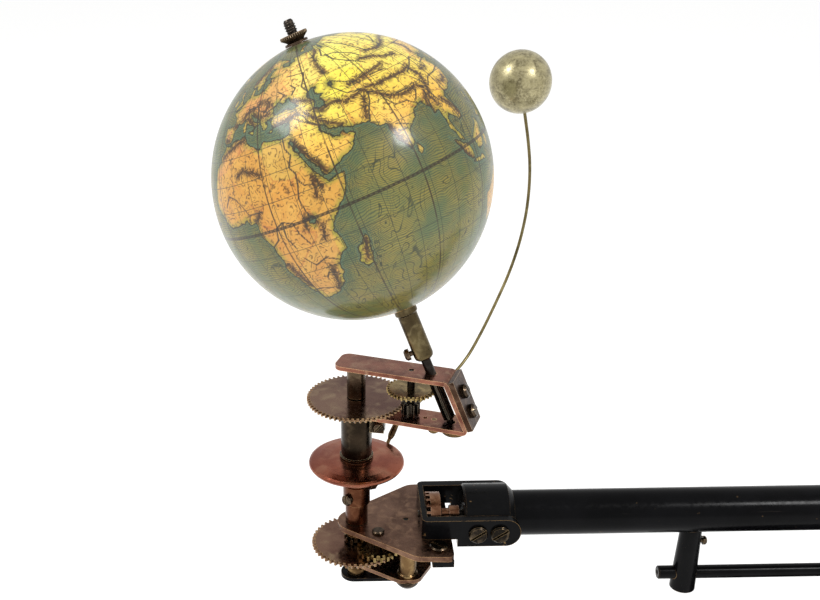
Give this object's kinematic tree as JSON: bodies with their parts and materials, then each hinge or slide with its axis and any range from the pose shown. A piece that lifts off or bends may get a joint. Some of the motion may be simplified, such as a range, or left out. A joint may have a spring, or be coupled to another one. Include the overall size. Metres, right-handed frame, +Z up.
{
  "type": "orrery",
  "caption": "Table orrery: an arm on a stand carries a tilted globe and a Moon on a wire, turned by a gear train from a fixed toothed wheel; a candle with a dish reflector stands for the Sun.",
  "frame": {"origin": "the column's axis at the felt under the base", "axes": "+Z up along the column, -X along the arm to the globe, -Y towards the viewer"},
  "size_m": [0.4515, 0.1909, 0.3858],
  "materials": {
    "felt": "wool felt",
    "base_lacquer": "gloss black lacquer on cast iron",
    "column_lacquer": "black lacquer on brass, worn at the edges",
    "hub_lacquer": "black lacquer on brass, worn at the edges",
    "tube_lacquer": "gloss black lacquer on brass tube",
    "sleeve_lacquer": "gloss black lacquer, worn to brass on the edges",
    "yoke_lacquer": "gloss black lacquer, worn to brass on the edges",
    "bracket_lacquer": "black lacquer",
    "rod_lacquer": "black lacquered rod with a bare end",
    "screw_black": "blackened",
    "screw_steel": "tarnished, slotted",
    "dark_steel": "blued and oiled",
    "sun_brass": "tarnished",
    "fitting_brass": "tarnished",
    "gear_brass": "tarnished",
    "lamp_brass": "lacquered",
    "socket_brass": "tarnished",
    "washer_brass": "tarnished",
    "nut_bronze": "dark, knurled",
    "wire_brass": "drawn wire, tarnished",
    "plate_copper": "red copper patina with bright edges",
    "frame_copper": "red copper patina with bright edges",
    "backing_copper": "greyish copper patina",
    "gear_copper": "red copper patina",
    "crown_copper": "light pink copper",
    "disc_copper": "polished red copper",
    "tube_bronze": "dark bronze",
    "collar_bronze": "dark bronze",
    "sleeve_bronze": "dark bronze",
    "moon_silver": "plaster ball silvered and aged",
    "globe_paper": "varnished paper gores",
    "wax": "wax",
    "mirror_silver": "polished"
  },
  "bodies": {
    "stand": {"base_felt": "felt", "base_casting": "base_lacquer", "column": "column_lacquer", "sun_wheel": "sun_brass", "spindle_nut": "fitting_brass"},
    "arm": {"hub": "hub_lacquer", "arm_tube": "tube_lacquer", "end_sleeve": "sleeve_lacquer", "yoke": "yoke_lacquer", "yoke_screws": "screw_black", "upper_plate": "plate_copper", "plate_screws": "screw_steel", "bracket": "bracket_lacquer", "lower_plate": "plate_copper", "pillars": "fitting_brass", "pillar_screws": "screw_steel", "dome_nut": "fitting_brass", "plate_bush": "fitting_brass", "idler_stud": "screw_steel", "post": "sleeve_lacquer", "post_screw": "screw_black", "brace_rod": "rod_lacquer", "brace_collar": "hub_lacquer", "lamp_post": "lamp_brass", "candle": "wax", "reflector": "mirror_silver", "reflector_stem": "lamp_brass"},
    "drive_shaft": {"drive_shaft": "dark_steel", "crown_wheel": "crown_copper", "drive_pinion": "gear_brass"},
    "transfer_arbor": {"transfer_arbor": "dark_steel", "transfer_wheel": "gear_brass", "moon_driver": "gear_brass"},
    "idler": {"idler_gear": "gear_brass"},
    "earth_frame": {"frame_spindle": "tube_bronze", "frame_gear": "gear_copper", "c_frame": "frame_copper", "backing_plate": "backing_copper", "backing_screws": "screw_steel", "frame_boss": "fitting_brass", "frame_nut": "fitting_brass"},
    "moon_carrier": {"moon_tube": "tube_bronze", "disc_collar": "collar_bronze", "collar_screws": "screw_steel", "carrier_disc": "disc_copper", "carrier_sleeve": "sleeve_bronze", "sleeve_screw": "screw_steel", "moon_wheel": "gear_copper", "ferrule": "fitting_brass", "moon_wire": "wire_brass", "moon": "moon_silver"},
    "frame_arbor": {"frame_arbor": "dark_steel", "globe_wheel": "gear_brass"},
    "earth": {"globe": "globe_paper", "polar_rod": "dark_steel", "globe_socket": "socket_brass", "socket_screw": "screw_steel", "pole_washer": "washer_brass", "pole_nut": "nut_bronze"}
  },
  "joints": [
    {"name": "arm_turn", "type": "hinge", "parent": "stand", "child": "arm", "pos_m": [0, 0, 0.15], "axis": [0, 0, 1], "continuous": true},
    {"name": "drive_turn", "type": "hinge", "parent": "arm", "child": "drive_shaft", "pos_m": [-0.15, 0, 0.15], "axis": [1, 0, 0], "continuous": true},
    {"name": "transfer_turn", "type": "hinge", "parent": "arm", "child": "transfer_arbor", "pos_m": [-0.2754, 0, 0.14], "axis": [0, 0, 1], "continuous": true},
    {"name": "idler_turn", "type": "hinge", "parent": "arm", "child": "idler", "pos_m": [-0.2897, -0.0109, 0.1375], "axis": [0, 0, 1], "continuous": true},
    {"name": "moon_turn", "type": "hinge", "parent": "arm", "child": "moon_carrier", "pos_m": [-0.3, 0, 0.18], "axis": [0, 0, 1], "continuous": true},
    {"name": "frame_turn", "type": "hinge", "parent": "arm", "child": "earth_frame", "pos_m": [-0.3, 0, 0.18], "axis": [0, 0, 1], "continuous": true},
    {"name": "frame_arbor_turn", "type": "hinge", "parent": "earth_frame", "child": "frame_arbor", "pos_m": [-0.27517, -0.00953, 0.21], "axis": [0, 0, 1], "continuous": true},
    {"name": "earth_spin", "type": "hinge", "parent": "earth_frame", "child": "earth", "pos_m": [-0.30149, 0.00057, 0.3208], "axis": [-0.3723, 0.1429, 0.9171], "continuous": true}
  ],
  "couplings": [
    {"joint": "drive_turn", "follows": "arm_turn", "ratio": 8},
    {"joint": "transfer_turn", "follows": "arm_turn", "ratio": 8},
    {"joint": "idler_turn", "follows": "arm_turn", "ratio": -7.1579},
    {"joint": "moon_turn", "follows": "arm_turn", "ratio": 12.364},
    {"joint": "frame_turn", "follows": "arm_turn", "ratio": -1},
    {"joint": "frame_arbor_turn", "follows": "arm_turn", "ratio": -80.182},
    {"joint": "earth_spin", "follows": "arm_turn", "ratio": 366.55}
  ]
}
